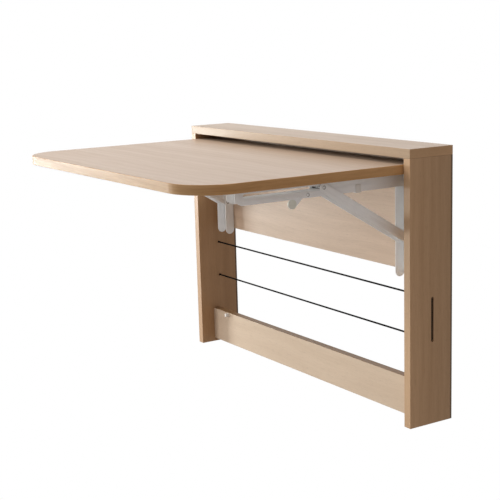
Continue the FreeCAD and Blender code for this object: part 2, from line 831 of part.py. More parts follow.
bracket_pieces = [
    ("wall_arm", wall_arm()),
    ("table_arm", table_arm()),
    ("strut_inner_bar", strut_bar(-1)),
    ("strut_outer_bar", strut_bar(1)),
    ("strut_end_rivets", strut_end_rivets()),
    ("strut_pivot_rivets", strut_pivot_rivets()),
    ("hinge_pin", hinge_pin()),
    ("hinge_bushes", hinge_bushes()),
    ("slider_pin", slider_pin()),
    ("latch_lever", latch_lever()),
    ("lever_rivet", lever_rivet()),
    ("lever_spring", lever_spring()),
    ("arm_clip", arm_clip()),
]
for name, piece in bracket_pieces:
    right_piece = piece.copy()
    right_piece.translate(FreeCAD.Vector(bracket_spread, 0, 0))
    save("right_" + name, right_piece)
    save("left_" + name, right_piece.mirror(FreeCAD.Vector(0, 0, 0), FreeCAD.Vector(1, 0, 0)))

print("origin height %.2f" % cleat_rows_centre)
print("hinge %.2f %.2f" % (hinge_y, hinge_z - cleat_rows_centre))
print("strut pivot %.2f %.2f length %.3f" % (strut_y, strut_z - cleat_rows_centre, strut_length))
print("slider open %.3f closed %.3f" % (slider_open, slider_closed))
open_angle = math.degrees(math.atan2(slot_z - strut_z, slider_y - strut_y))
folded_angle = 360 + math.degrees(math.atan2(-strut_hang, slot_folded_y - strut_y))
print("strut turn %.3f" % (folded_angle - open_angle))
print("lever pivot %.2f %.2f" % (lever_y(), lever_z() - cleat_rows_centre))
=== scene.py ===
import math

import bmesh
import bpy
import numpy as np
from mathutils import Matrix, Vector


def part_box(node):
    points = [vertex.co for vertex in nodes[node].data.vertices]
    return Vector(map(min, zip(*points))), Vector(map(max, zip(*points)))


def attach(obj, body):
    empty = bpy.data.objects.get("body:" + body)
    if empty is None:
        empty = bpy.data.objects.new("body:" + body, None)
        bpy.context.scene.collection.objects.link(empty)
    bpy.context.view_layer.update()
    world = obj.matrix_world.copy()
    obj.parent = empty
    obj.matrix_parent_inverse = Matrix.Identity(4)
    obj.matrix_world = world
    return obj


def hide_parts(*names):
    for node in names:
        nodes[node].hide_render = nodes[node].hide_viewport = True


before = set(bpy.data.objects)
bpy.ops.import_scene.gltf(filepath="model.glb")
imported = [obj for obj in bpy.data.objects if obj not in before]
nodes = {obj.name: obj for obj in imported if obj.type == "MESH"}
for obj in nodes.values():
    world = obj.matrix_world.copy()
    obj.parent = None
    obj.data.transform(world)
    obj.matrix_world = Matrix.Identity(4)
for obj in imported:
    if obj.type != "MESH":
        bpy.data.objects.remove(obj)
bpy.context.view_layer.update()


# The camera.
# It stands in front and to the right of the table, a little above it, and is held with a slight roll.
camera_place = Vector((1.9991, -1.4715, 0.342))
camera_yaw = math.radians(57.591)
camera_pitch = math.radians(10.854)
camera_roll = math.radians(-1.652)
camera_lens = 82.44
sensor = 36.0
camera_reach = 50.0

level_right = Vector((math.cos(camera_yaw), math.sin(camera_yaw), 0))
forward = Vector((-math.sin(camera_yaw) * math.cos(camera_pitch),
                  math.cos(camera_yaw) * math.cos(camera_pitch),
                  -math.sin(camera_pitch)))
level_up = level_right.cross(forward)
camera_right = math.cos(camera_roll) * level_right + math.sin(camera_roll) * level_up
camera_up = math.cos(camera_roll) * level_up - math.sin(camera_roll) * level_right
camera_turn = Matrix((camera_right, camera_up, -forward)).transposed()

camera_data = bpy.data.cameras.new("camera")
camera_data.lens = camera_lens
camera_data.sensor_width = sensor
camera_data.clip_end = camera_reach
camera = bpy.data.objects.new("camera", camera_data)
camera.matrix_world = Matrix.Translation(camera_place) @ camera_turn.to_4x4()
bpy.context.scene.collection.objects.link(camera)
bpy.context.scene.camera = camera


# The studio: a white surround, a pale floor and soft lights.
# The main light stands far to the left and a little in front, so the left panel shades the panel behind it.
bpy.context.scene.view_settings.view_transform = "Standard"
ambient_level = 0.42
ambient_colour = (1.0, 0.89, 0.84, 1.0)
floor_height = -0.74
floor_reach = 12.0
floor_bounce = (0.48, 0.45, 0.42, 1.0)
plain_white = (1.0, 1.0, 1.0, 1.0)
aim = Vector((0.0, -0.25, -0.12))
# Each lamp: name, place, width and height, power, colour.
lamps = [("main_light", (-5.72, -2.45, 0.21), (1.2, 2.4), 400.0, (0.97, 1.0, 0.98)),
         ("front_light", (-1.66, -3.66, 2.0), (1.6, 0.8), 58.0, (1.0, 0.95, 0.91)),
         ("top_light", (-0.9, -0.7, 2.6), (2.2, 2.2), 54.0, (1.0, 0.96, 0.92)),
         ("back_light", (-5.0, 3.4, 1.5), (4.0, 2.0), 8.0, (0.80, 0.92, 1.0))]


def seen_directly(tree):
    """Light Path's share of rays that show the surround itself: camera, mirrored and transmitted ones."""
    path = tree.nodes.new("ShaderNodeLightPath")
    share = path.outputs["Is Camera Ray"]
    for kind in ("Is Glossy Ray", "Is Transmission Ray"):
        either = tree.nodes.new("ShaderNodeMath")
        either.operation = "MAXIMUM"
        tree.links.new(share, either.inputs[0])
        tree.links.new(path.outputs[kind], either.inputs[1])
        share = either.outputs[0]
    return share


def white_surround():
    """A world that looks plain white and lights the object at the ambient level."""
    world = bpy.data.worlds.new("surround")
    world.use_nodes = True
    tree = world.node_tree
    tree.nodes.clear()
    out = tree.nodes.new("ShaderNodeOutputWorld")
    mix = tree.nodes.new("ShaderNodeMixShader")
    lighting = tree.nodes.new("ShaderNodeBackground")
    lighting.inputs["Color"].default_value = ambient_colour
    lighting.inputs["Strength"].default_value = ambient_level
    shown = tree.nodes.new("ShaderNodeBackground")
    shown.inputs["Color"].default_value = plain_white
    tree.links.new(seen_directly(tree), mix.inputs[0])
    tree.links.new(lighting.outputs[0], mix.inputs[1])
    tree.links.new(shown.outputs[0], mix.inputs[2])
    tree.links.new(mix.outputs[0], out.inputs["Surface"])
    bpy.context.scene.world = world


def floor_finish():
    """Plain white to the camera, and a matt surface of its own colour to all the light it throws back."""
    material = bpy.data.materials.new("studio_floor")
    material.use_nodes = True
    tree = material.node_tree
    tree.nodes.clear()
    out = tree.nodes.new("ShaderNodeOutputMaterial")
    bounce = tree.nodes.new("ShaderNodeBsdfDiffuse")
    bounce.inputs["Color"].default_value = floor_bounce
    plain = tree.nodes.new("ShaderNodeEmission")
    by_ray = tree.nodes.new("ShaderNodeMixShader")
    tree.links.new(seen_directly(tree), by_ray.inputs[0])
    tree.links.new(bounce.outputs[0], by_ray.inputs[1])
    tree.links.new(plain.outputs[0], by_ray.inputs[2])
    tree.links.new(by_ray.outputs[0], out.inputs["Surface"])
    return material


def studio_floor():
    """One large square under the object."""
    mesh = bpy.data.meshes.new("studio_floor")
    corners = [(x * floor_reach, y * floor_reach, 0.0) for x, y in ((-1, -1), (1, -1), (1, 1), (-1, 1))]
    mesh.from_pydata(corners, [], [(0, 1, 2, 3)])
    mesh.materials.append(floor_finish())
    floor = bpy.data.objects.new("studio_floor", mesh)
    floor.location = (0.0, 0.0, floor_height)
    bpy.context.scene.collection.objects.link(floor)


def soft_light(name, place, size, power, colour):
    """A flat panel of light that faces the object."""
    data = bpy.data.lights.new(name, "AREA")
    data.shape = "RECTANGLE"
    data.size, data.size_y = size
    data.energy = power
    data.color = colour
    lamp = bpy.data.objects.new(name, data)
    lamp.location = place
    lamp.rotation_mode = "QUATERNION"
    lamp.rotation_quaternion = (aim - Vector(place)).to_track_quat("-Z", "Y")
    bpy.context.scene.collection.objects.link(lamp)


white_surround()
studio_floor()
for lamp in lamps:
    soft_light(*lamp)


# The boards: top board, side panels, back panel, rail and tabletop.
# Particle board faced with a maple print, its grain along each board, so upright on the side panels. Dowels
# and cam bolts join the frame's boards, and screws hold the brackets to the back panel and the tabletop.
wander_scale = 3.1
wander_detail = 1.0
wander_reach = 0.03
# Each pattern: its share along the grain, scale, detail and roughness.
band_pattern = (0.035, 24.0, 2.0, 0.5)
streak_pattern = (0.035, 240.0, 5.0, 0.62)
hair_pattern = (0.012, 900.0, 2.0, 0.5)
pore_pattern = (0.05, 1500.0, 1.0, 0.5)
growth_line_share = 0.25
growth_lines = {"Scale": 15.0, "Distortion": 7.0, "Detail": 2.0, "Detail Scale": 0.9}
tone_shares = (0.36, 0.34, 0.22, 0.08)
height_shares = (1.0, -0.8)
pore_edges = (0.6, 0.74)


def value_socket(group, name, kind, role):
    """One named socket of a node group."""
    group.interface.new_socket(name=name, in_out=role, socket_type=kind)


def noise(tree, vector, scale, detail, roughness):
    """A noise pattern read at a vector."""
    node = tree.nodes.new("ShaderNodeTexNoise")
    node.inputs["Scale"].default_value = scale
    node.inputs["Detail"].default_value = detail
    node.inputs["Roughness"].default_value = roughness
    tree.links.new(vector, node.inputs["Vector"])
    return node.outputs["Fac"]


def drawn_out(tree, vector, share):
    """The vector with its part along X multiplied by a share, which draws a pattern out along the grain."""
    node = tree.nodes.new("ShaderNodeVectorMath")
    node.operation = "MULTIPLY"
    node.inputs[1].default_value = (share, 1.0, 1.0)
    tree.links.new(vector, node.inputs[0])
    return node.outputs["Vector"]


def remap(tree, value, low, high, new_low=0.0, new_high=1.0):
    """A value moved from one range to another and kept inside it."""
    node = tree.nodes.new("ShaderNodeMapRange")
    node.inputs["From Min"].default_value = low
    node.inputs["From Max"].default_value = high
    node.inputs["To Min"].default_value = new_low
    node.inputs["To Max"].default_value = new_high
    tree.links.new(value, node.inputs["Value"])
    return node.outputs["Result"]


def sum_of_shares(tree, values, shares):
    """Several values, each times its share, added up."""
    total = None
    for value, share in zip(values, shares):
        node = tree.nodes.new("ShaderNodeMath")
        node.operation = "MULTIPLY_ADD"
        node.inputs[1].default_value = share
        node.inputs[2].default_value = 0.0
        tree.links.new(value, node.inputs[0])
        if total is not None:
            tree.links.new(total, node.inputs[2])
        total = node.outputs[0]
    return total


def wood_grain_group():
    """Wood grain that runs along X. Its tone is the sum of broad bands, fine streaks, hairs and wavy growth
    lines, each times its share, and its height is that of the streaks less the short pores."""
    group = bpy.data.node_groups.new("wood_grain", "ShaderNodeTree")
    value_socket(group, "Place", "NodeSocketVector", "INPUT")
    for name in ("Tone", "Pores", "Height"):
        value_socket(group, name, "NodeSocketFloat", "OUTPUT")
    start = group.nodes.new("NodeGroupInput")
    end = group.nodes.new("NodeGroupOutput")
    place = start.outputs["Place"]
    wander = group.nodes.new("ShaderNodeTexNoise")
    wander.inputs["Scale"].default_value = wander_scale
    wander.inputs["Detail"].default_value = wander_detail
    group.links.new(place, wander.inputs["Vector"])
    bent = group.nodes.new("ShaderNodeVectorMath")
    bent.operation = "MULTIPLY_ADD"
    bent.inputs[1].default_value = (0.0, wander_reach, wander_reach)
    group.links.new(wander.outputs["Color"], bent.inputs[0])
    group.links.new(place, bent.inputs[2])
    bent_place = bent.outputs["Vector"]
    bands, streaks, hairs, pores = (noise(group, drawn_out(group, bent_place, share), *pattern)
                                    for share, *pattern in (band_pattern, streak_pattern, hair_pattern,
                                                            pore_pattern))
    lines = group.nodes.new("ShaderNodeTexWave")
    lines.wave_type = "RINGS"
    lines.rings_direction = "X"
    for socket, amount in growth_lines.items():
        lines.inputs[socket].default_value = amount
    group.links.new(drawn_out(group, bent_place, growth_line_share), lines.inputs["Vector"])
    marks = remap(group, pores, *pore_edges)
    tone = sum_of_shares(group, (bands, streaks, hairs, lines.outputs["Fac"]), tone_shares)
    group.links.new(tone, end.inputs["Tone"])
    group.links.new(marks, end.inputs["Pores"])
    group.links.new(sum_of_shares(group, (streaks, marks), height_shares), end.inputs["Height"])
    return group


wood_grain = wood_grain_group()
shade_shares = np.array((1.0, 1.2, 1.45))
ramp_edges = (0.36, 0.64)
gloss_edges = (0.3, 0.7)
pore_colour_share = 0.5
pore_cover_share = 0.3
painted_face_edges = (0.4, 0.9)
wood_bump = 0.5
panel_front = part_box("right_side_panel")[0].y
# The side panels' painted shade towards the wall, and a darker strip just before their rear edge.
dark_strip_start = -0.0055
dark_strip_full = -0.0035
dark_strip_share = 0.3
rear_start = -0.0005
rear_full = -0.0001
rear_share = 0.85
painted_back_shade_share = 0.8


def new_finish(name):
    """A new material, with its nodes, its surface and the Texture Coordinate node that its patterns read."""
    material = bpy.data.materials.new(name)
    material.use_nodes = True
    tree = material.node_tree
    return material, tree, tree.nodes["Principled BSDF"], tree.nodes.new("ShaderNodeTexCoord")


def mixed_with(tree, cover, factor, colour, blend="MIX"):
    """The cover, mixed by a factor with one plain colour."""
    node = tree.nodes.new("ShaderNodeMix")
    node.data_type = "RGBA"
    node.blend_type = blend
    node.inputs["B"].default_value = (*colour, 1.0)
    tree.links.new(factor, node.inputs["Factor"])
    tree.links.new(cover, node.inputs["A"])
    return node.outputs["Result"]


def relief(tree, surface, height, strength, depth):
    """A bump on the surface that follows a height."""
    bump = tree.nodes.new("ShaderNodeBump")
    bump.inputs["Strength"].default_value = strength
    bump.inputs["Distance"].default_value = depth
    tree.links.new(height, bump.inputs["Height"])
    tree.links.new(bump.outputs["Normal"], surface.inputs["Normal"])


def joined(tree, operation, first, second):
    """Two values joined by one operation."""
    node = tree.nodes.new("ShaderNodeMath")
    node.operation = operation
    tree.links.new(first, node.inputs[0])
    tree.links.new(second, node.inputs[1])
    return node.outputs[0]


def with_painted_face_light(tree, cover, normal, axis, tint):
    """The cover, multiplied by a tint of painted light or shade on the faces that look along one axis."""
    ways = tree.nodes.new("ShaderNodeSeparateXYZ")
    tree.links.new(normal, ways.inputs[0])
    size = tree.nodes.new("ShaderNodeMath")
    size.operation = "ABSOLUTE"
    tree.links.new(ways.outputs[axis], size.inputs[0])
    return mixed_with(tree, cover, remap(tree, size.outputs[0], *painted_face_edges), tint, "MULTIPLY")


def shaded_to_back(tree, cover, place):
    """The cover of a side panel times a share: a painted shade that falls slowly towards the wall, then a
    darker strip just before the rear edge, which rises again at that edge itself."""
    parts = tree.nodes.new("ShaderNodeSeparateXYZ")
    tree.links.new(place, parts.inputs[0])
    slow = remap(tree, parts.outputs["Y"], panel_front, dark_strip_start, 1.0, painted_back_shade_share)
    dark_strip = remap(tree, parts.outputs["Y"], dark_strip_start, dark_strip_full, 1.0, dark_strip_share)
    rear = remap(tree, parts.outputs["Y"], rear_start, rear_full, 0.0, rear_share)
    share = joined(tree, "MULTIPLY", slow, joined(tree, "MAXIMUM", dark_strip, rear))
    darker = tree.nodes.new("ShaderNodeVectorMath")
    darker.operation = "SCALE"
    tree.links.new(cover, darker.inputs[0])
    tree.links.new(share, darker.inputs["Scale"])
    return darker.outputs["Vector"]


def wood_finish(name, colour, contrast, turn=(0, 0, 0), shift=(0, 0, 0), scale=(1, 1, 1),
                gloss=(0.36, 0.46), depth=0.00002, specular=0.3, shaded_back=False, painted_face_light=()):
    """A wood surface: grain tones about one colour, darker and redder in the streaks, with fine dark pores.
    Faces with painted light are pairs of an axis and a tint, painted light or shade, for the faces that look
    along it. A side panel with a shaded back gets painted shade towards the wall."""
    material, tree, surface, place = new_finish(name)
    placed = tree.nodes.new("ShaderNodeMapping")
    placed.inputs["Rotation"].default_value = [math.radians(angle) for angle in turn]
    placed.inputs["Location"].default_value = shift
    placed.inputs["Scale"].default_value = scale
    grain = tree.nodes.new("ShaderNodeGroup")
    grain.node_tree = wood_grain
    tree.links.new(place.outputs["Object"], placed.inputs["Vector"])
    tree.links.new(placed.outputs["Vector"], grain.inputs["Place"])
    tones = tree.nodes.new("ShaderNodeValToRGB")
    dark, light = tones.color_ramp.elements
    dark.position, light.position = ramp_edges
    dark.color = (*(np.array(colour) * (1.0 - contrast * shade_shares)), 1.0)
    light.color = (*(np.array(colour) * (1.0 + contrast * shade_shares)), 1.0)
    tree.links.new(grain.outputs["Tone"], tones.inputs["Fac"])
    marks = remap(tree, grain.outputs["Pores"], 0.0, 1.0, 0.0, pore_cover_share)
    cover = mixed_with(tree, tones.outputs["Color"], marks, np.array(colour) * pore_colour_share)
    for axis, tint in painted_face_light:
        cover = with_painted_face_light(tree, cover, place.outputs["Normal"], axis, tint)
    if shaded_back:
        cover = shaded_to_back(tree, cover, place.outputs["Object"])
    tree.links.new(cover, surface.inputs["Base Color"])
    roughness = remap(tree, grain.outputs["Tone"], *gloss_edges, gloss[1], gloss[0])
    tree.links.new(roughness, surface.inputs["Roughness"])
    surface.inputs["Specular IOR Level"].default_value = specular
    relief(tree, surface, grain.outputs["Height"], wood_bump, depth)
    return material


def dress(node, material):
    """Give a piece that keeps its own mesh a finish."""
    for place in nodes[node].material_slots:
        place.material = material


upright = (0, 90, 0)
level = (0, 0, 0)
# Each board: colour, contrast and way of its grain, shift of the pattern, specular, and faces with painted
# # light or shade, each an axis and its tint.
# All boards carry one maple print, but each board's colour is set apart for the light and shade it is seen in,
# a painted light and shade.
boards = {"top_board": ((0.395, 0.305, 0.228), 0.06, level, (0.3, 0.1, 0.7), 0.2,
                        [("X", (1.28, 1.07, 0.80)), ("Y", (1.02, 0.97, 0.86))]),
          "left_side_panel": ((0.445, 0.268, 0.142), 0.085, upright, (1.7, 0.4, 0.2), 0.25,
                              [("Y", (1.0, 1.07, 1.18))]),
          "right_side_panel": ((0.505, 0.325, 0.183), 0.095, upright, (2.9, 0.8, 0.5), 0.25,
                               [("Y", (1.02, 1.06, 1.12))]),
          "back_panel": ((0.615, 0.465, 0.345), 0.085, level, (3.3, 1.2, 0.9), 0.3, []),
          "bottom_rail": ((0.61, 0.495, 0.38), 0.06, level, (4.1, 1.6, 1.3), 0.12,
                          [("Z", (0.42, 0.31, 0.20))]),
          "tabletop": ((0.408, 0.31, 0.232), 0.05, level, (5.7, 0.9, 0.1), 0.25, [])}
for board, (colour, contrast, turned_way, moved, shine, face_light_tints) in boards.items():
    dress(board, wood_finish("maple_" + board, colour, contrast, turned_way, moved, specular=shine,
                             shaded_back=board.endswith("side_panel"), painted_face_light=face_light_tints))


# The edge band of the tabletop.
# A strip of the same maple print, one millimetre thick, glued round the edge with its grain along it.
# Its colour, deeper and redder than the boards', is set for the shade its near edge is seen in, a painted
# shade, and its front faces carry a cooler, less red tint, a painted sheen.
band_finish = wood_finish("maple_edge_band", colour=(0.52, 0.305, 0.138), contrast=0.18, scale=(1, 0.04, 1),
                          shift=(0.9, 0.3, 0.6), specular=0.12, painted_face_light=[("Y", (0.84, 0.92, 1.04))])
dress("tabletop_edge_band", band_finish)


# The hanging cleats and dowels.
# Sawn softwood battens behind the back panel, and beech dowels inside the joints, all left bare.
softwood = wood_finish("bare_softwood", colour=(0.53, 0.38, 0.22), contrast=0.16, shift=(0.2, 0.5, 0.4),
                       gloss=(0.6, 0.75), depth=0.00008)
beech = wood_finish("bare_beech", colour=(0.55, 0.37, 0.23), contrast=0.1, gloss=(0.55, 0.7), depth=0.00004)
for cleat in ("wall_cleat", "hook_cleat"):
    dress(cleat, softwood)
dress("wood_dowels", beech)


# The cam bolts and cam locks inside the boards.
# Turned and die-cast steel fittings with a thin zinc coat, a little uneven in its shine. They pull the boards
# of the frame together from inside.
cloud_pattern = (55.0, 3.0, 0.6)
cloud_edges = (0.35, 0.65)
skin_detail = 2.0
skin_roughness = 0.5
skin_bump = 0.6


def metal_finish(name, colour, shade, gloss, depth, scale, metallic=1.0, specular=0.5, painted_shade=None):
    """Metal, plastic or paint: small cloudy changes of tone between the shade and the colour, a very fine
    relief, and a painted shade, a darker colour, where the piece's points are marked."""
    material, tree, surface, place = new_finish(name)
    clouds = noise(tree, place.outputs["Object"], *cloud_pattern)
    mix = tree.nodes.new("ShaderNodeMix")
    mix.data_type = "RGBA"
    mix.inputs["A"].default_value = (*shade, 1.0)
    mix.inputs["B"].default_value = (*colour, 1.0)
    tree.links.new(remap(tree, clouds, *cloud_edges), mix.inputs["Factor"])
    cover = mix.outputs["Result"]
    if painted_shade is not None:
        marks = tree.nodes.new("ShaderNodeAttribute")
        marks.attribute_name = "painted_shade"
        cover = mixed_with(tree, cover, marks.outputs["Fac"], painted_shade)
    tree.links.new(cover, surface.inputs["Base Color"])
    tree.links.new(remap(tree, clouds, *gloss_edges, gloss[1], gloss[0]), surface.inputs["Roughness"])
    surface.inputs["Metallic"].default_value = metallic
    surface.inputs["Specular IOR Level"].default_value = specular
    skin = noise(tree, place.outputs["Object"], scale, skin_detail, skin_roughness)
    relief(tree, surface, skin, skin_bump, depth)
    return material


zinc = metal_finish("zinc_plated_steel", colour=(0.56, 0.56, 0.54), shade=(0.42, 0.42, 0.41),
                    gloss=(0.3, 0.45), depth=0.00002, scale=900.0)
for fitting in ("cam_bolts", "cam_locks"):
    dress(fitting, zinc)


# The pins and rivets of the folding brackets.
# Turned steel, dull zinc plated. Each visible head is a thin ring round a groove and a low button, with
# # painted shade darkening the groove. The slider pins are rods with a groove near each end, in steel painted
# # dark to stand in for the shade inside the channel.
millimetre = 0.001
# The darker colour painted into the heads' grooves and recesses, a painted shade.
painted_groove_shade = (0.38, 0.37, 0.36)
dull_zinc = metal_finish("dull_zinc", colour=(0.86, 0.86, 0.85), shade=(0.78, 0.78, 0.77), gloss=(0.4, 0.55),
                         depth=0.00002, scale=900.0, metallic=0.3, painted_shade=painted_groove_shade)
# The slider pins' steel is painted dark, a painted shade standing in for the shade inside the table arm's
# channel.
dark_steel = metal_finish("shade_darkened_steel", colour=(0.16, 0.155, 0.15), shade=(0.10, 0.097, 0.094),
                          gloss=(0.3, 0.45), depth=0.00001, scale=900.0, painted_shade=painted_groove_shade)
weld_distance = 0.000001
turned_columns = 48
crown_rows = 9
dome_rows = 6
hollow_share = 0.8
button_share = 0.42
side_share = 0.5
floor_share = 0.1
button_rise_share = 0.8
inner_slope = 2.4
button_foot = 0.5
painted_slope_shade_share = 0.6
painted_foot_shade_share = 0.5
chamfer_share = 0.12
# The pins with two heads: shank radius, head height, body.
through_pins = {"hinge_pin": (3.0 * millimetre, 1.5 * millimetre, "frame"),
                "lever_rivet": (2.0 * millimetre, 1.1 * millimetre, "tabletop")}
# The rivets in pairs, with one head each: shank radius, head height, shank length, body.
paired_rivets = {"strut_end_rivets": (2.5 * millimetre, 1.2 * millimetre, 1.5 * millimetre, "{}_strut"),
                 "strut_pivot_rivets": (3.0 * millimetre, 1.5 * millimetre, 4.4 * millimetre, "frame")}
slider_columns = 40
slider_chamfer = 0.5 * millimetre
slider_groove = 1.4 * millimetre
slider_cut = 0.35 * millimetre
painted_beside_shade_share = 0.2


def ring_faces(rows, columns, first):
    """The quads of a grid whose columns close round: corner (i, j) is point first + i·columns + j."""
    row, column = np.meshgrid(np.arange(rows - 1), np.arange(columns), indexing="ij")
    beside = (column + 1) % columns
    corners = (row * columns + column, row * columns + beside,
               (row + 1) * columns + beside, (row + 1) * columns + column)
    return np.stack(corners, axis=-1).reshape(-1, 4) + first


def closed_piece(name, grids, material, body, stands_for=(), painted_shade=None, sharp=38.0):
    """One piece of closed shells. Each is a grid of points (rows × columns × 3) that closes round and whose
    first and last rows are single points, its poles. The marks of painted shade are one value for each point."""
    mesh = bpy.data.meshes.new(name)
    sizes = [grid.shape[0] * grid.shape[1] for grid in grids]
    firsts = np.cumsum([0] + sizes[:-1])
    points = np.concatenate([grid.reshape(-1, 3) for grid in grids])
    faces = np.concatenate([ring_faces(grid.shape[0], grid.shape[1], first)
                            for grid, first in zip(grids, firsts)])
    mesh.from_pydata(points.tolist(), [], faces.tolist())
    marks = mesh.attributes.new("painted_shade", "FLOAT", "POINT")
    marks.data.foreach_set("value", np.zeros(len(points)) if painted_shade is None else np.ravel(painted_shade))
    work = bmesh.new()
    work.from_mesh(mesh)
    bmesh.ops.remove_doubles(work, verts=work.verts, dist=weld_distance)
    bmesh.ops.recalc_face_normals(work, faces=work.faces)
    work.to_mesh(mesh)
    work.free()
    mesh.polygons.foreach_set("use_smooth", np.ones(len(mesh.polygons), bool))
    mesh.set_sharp_from_angle(angle=math.radians(sharp))
    mesh.materials.append(material)
    piece = bpy.data.objects.new(name, mesh)
    bpy.context.scene.collection.objects.link(piece)
    if stands_for:
        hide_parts(*stands_for)
    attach(piece, body)


def other_parts(axis):
    """The two parts of a point that don't lie along an axis."""
    return [part for part in range(3) if part != axis]


def node_box(node):
    """The lowest and the highest corner of a node's own solids."""
    return [np.array(corner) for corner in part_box(node)]


def turned(profile, centre, axis, columns=turned_columns):
    """Rows of (place along the axis, radius) turned round it. The two other parts of each point are those
    of the centre plus radius·cos a and radius·sin a."""
    angle = np.linspace(0.0, 2.0 * np.pi, columns, endpoint=False)
    first, second = other_parts(axis)
    points = np.empty((len(profile), columns, 3))
    points[..., axis] = profile[:, :1]
    points[..., first] = centre[first] + profile[:, 1:2] * np.cos(angle)
    points[..., second] = centre[second] + profile[:, 1:2] * np.sin(angle)
    return points


def ringed_head(radius, height):
    """Rows of (rise, radius, painted shade) from a head's foot to its pole: a straight side, a ring whose crown
    is half an ellipse, a flat groove, and a button whose dome is a quarter of an ellipse. The painted shade
    darkens the groove, the ring's inner slope and the button's foot."""
    hollow = hollow_share * radius
    button = button_share * radius
    side = side_share * height
    floor = floor_share * height
    crown = np.linspace(0.0, np.pi, crown_rows)
    dome = np.linspace(0.0, np.pi / 2, dome_rows)
    ring = np.column_stack([side + (height - side) * np.sin(crown),
                            (radius + hollow) / 2 + (radius - hollow) / 2 * np.cos(crown),
                            np.where(crown > inner_slope, painted_slope_shade_share, 0.0)])
    groove = np.array([(floor, hollow, 1.0), (floor, (hollow + button) / 2, 1.0), (floor, button, 1.0)])
    middle = np.column_stack([floor + (button_rise_share * height - floor) * np.sin(dome),
                              button * np.cos(dome),
                              np.where(dome < button_foot, painted_foot_shade_share, 0.0)])
    return np.concatenate([[(0.0, radius, 0.0)], ring, groove, middle])


def headed_pin(low, high, shank, head_radius, head, centre, both_heads, out):
    """One pin along X between two places: a profile of (place, radius, painted shade) turned round its line,
    and the painted shade of its points. Heads stand on the outside, and an end without one is flat with a
    small chamfer."""
    rows = ringed_head(head_radius, head)
    foot, far = (high, low) if out > 0 else (low, high)
    outer = rows * (out, 1.0, 1.0) + (foot, 0.0, 0.0)
    if both_heads:
        other = (rows * (-out, 1.0, 1.0) + (far, 0.0, 0.0))[::-1]
        start = np.concatenate([other, [(far, shank, 0.0)]])
    else:
        chamfer = chamfer_share * shank
        start = np.array([(far, 0.0, 0.0), (far, shank - chamfer, 0.0), (far + out * chamfer, shank, 0.0)])
    profile = np.concatenate([start, [(foot, shank, 0.0)], outer])
    return turned(profile, centre, 0), np.repeat(profile[:, 2], turned_columns)


def pin_pieces(side):
    """The pins and rivets of one bracket, each as long and as wide as the solids that it stands for."""
    for name, (shank, head, body) in through_pins.items():
        node = side + "_" + name
        low, high = node_box(node)
        grid, painted_shade = headed_pin(low[0] + head, high[0] - head, shank, (high[1] - low[1]) / 2, head,
                                 (low + high) / 2, True, 1)
        closed_piece(node + "_turned", [grid], dull_zinc, body, [node], painted_shade)
    for name, (shank, head, length, body) in paired_rivets.items():
        node = side + "_" + name
        low, high = node_box(node)
        radius = (high[1] - low[1]) / 2
        centre = (low + high) / 2
        right = headed_pin(high[0] - head - length, high[0] - head, shank, radius, head, centre, False, 1)
        left = headed_pin(low[0] + head, low[0] + head + length, shank, radius, head, centre, False, -1)
        closed_piece(node + "_turned", [right[0], left[0]], dull_zinc, body.format(side),
                     [node], np.concatenate([right[1], left[1]]))


def slider_piece(side):
    """The slider pin, a profile of (place, radius, painted shade) turned round its line: a rod with chamfered
    ends, and beside each end a groove that falls and rises at 45 degrees, darkened in and beside it by painted
    shade."""
    node = side + "_slider_pin"
    low, high = node_box(node)
    radius = (high[1] - low[1]) / 2
    half = (high[0] - low[0]) / 2
    groove = half - slider_groove
    end = [(half, 0.0, 0.0), (half, radius - slider_chamfer, 0.0), (half - slider_chamfer, radius, 0.0),
           (groove, radius, painted_beside_shade_share), (groove - slider_cut, radius - slider_cut, 1.0),
           (groove - 2 * slider_cut, radius, painted_beside_shade_share)]
    rows = np.array(end + [(-place, size, painted_shade) for place, size, painted_shade in reversed(end)])
    centre = (low + high) / 2
    profile = rows + (centre[0], 0.0, 0.0)
    closed_piece(node + "_turned", [turned(profile, centre, 0, slider_columns)], dark_steel, side + "_slider",
                 [node], np.repeat(profile[:, 2], slider_columns))


sides = ("left", "right")
for side in sides:
    pin_pieces(side)
    slider_piece(side)


# The wood screws of the brackets and the hanging cleat.
# Steel screws with a cross recess and a thin zinc coat. The brackets' have round heads, the cleat's are sunk.
screw_columns = 64
screw_head_rows = 27
shank_columns = 18
shank_rows = 49
head_radius = 4.0 * millimetre
head_height = 2.2 * millimetre
rim_share = 0.35
shank_radius = 2.0 * millimetre
cross_half_width = 0.55 * millimetre
cross_reach = 2.1 * millimetre
cross_depth = 1.3 * millimetre
cross_softness = 0.16 * millimetre
cross_rise_share = 0.45
# The cross recess is painted darker in step with its depth, a painted shade.
painted_cross_shade_gain = 1.4
thread_pitch = 1.8 * millimetre
thread_core_share = 0.76
thread_ridge_share = 0.22
point_share = 0.25
screw_gap = 3.0 * millimetre


def middles(values, gap):
    """The middles of the groups that sorted values fall into, parted where neighbours lie further apart."""
    ordered = np.unique(np.round(values, 5))
    groups = np.split(ordered, np.nonzero(np.diff(ordered) > gap)[0] + 1)
    return [(group[0] + group[-1]) / 2 for group in groups]


def node_points(node):
    """All the points of a node's own mesh."""
    mesh = nodes[node].data
    points = np.empty(len(mesh.vertices) * 3)
    mesh.vertices.foreach_get("co", points)
    return points.reshape(-1, 3)


def cross_recess(across, up):
    """The depth of the cross at a place on the head: the larger of two bars, each a strip that is as long as
    the reach, and shallower towards its ends."""
    def strip(wide, long):
        """One bar: two ramps across its soft edges, times each other, kept between 0 and 1."""
        return (np.clip((cross_half_width - np.abs(wide)) / cross_softness + 0.5, 0.0, 1.0)
                * np.clip((cross_reach - np.abs(long)) / cross_softness + 0.5, 0.0, 1.0))
    shallower = 1.0 - cross_rise_share * np.clip(np.hypot(across, up) / cross_reach, 0.0, 1.0)
    return cross_depth * np.maximum(strip(across, up), strip(up, across)) * shallower


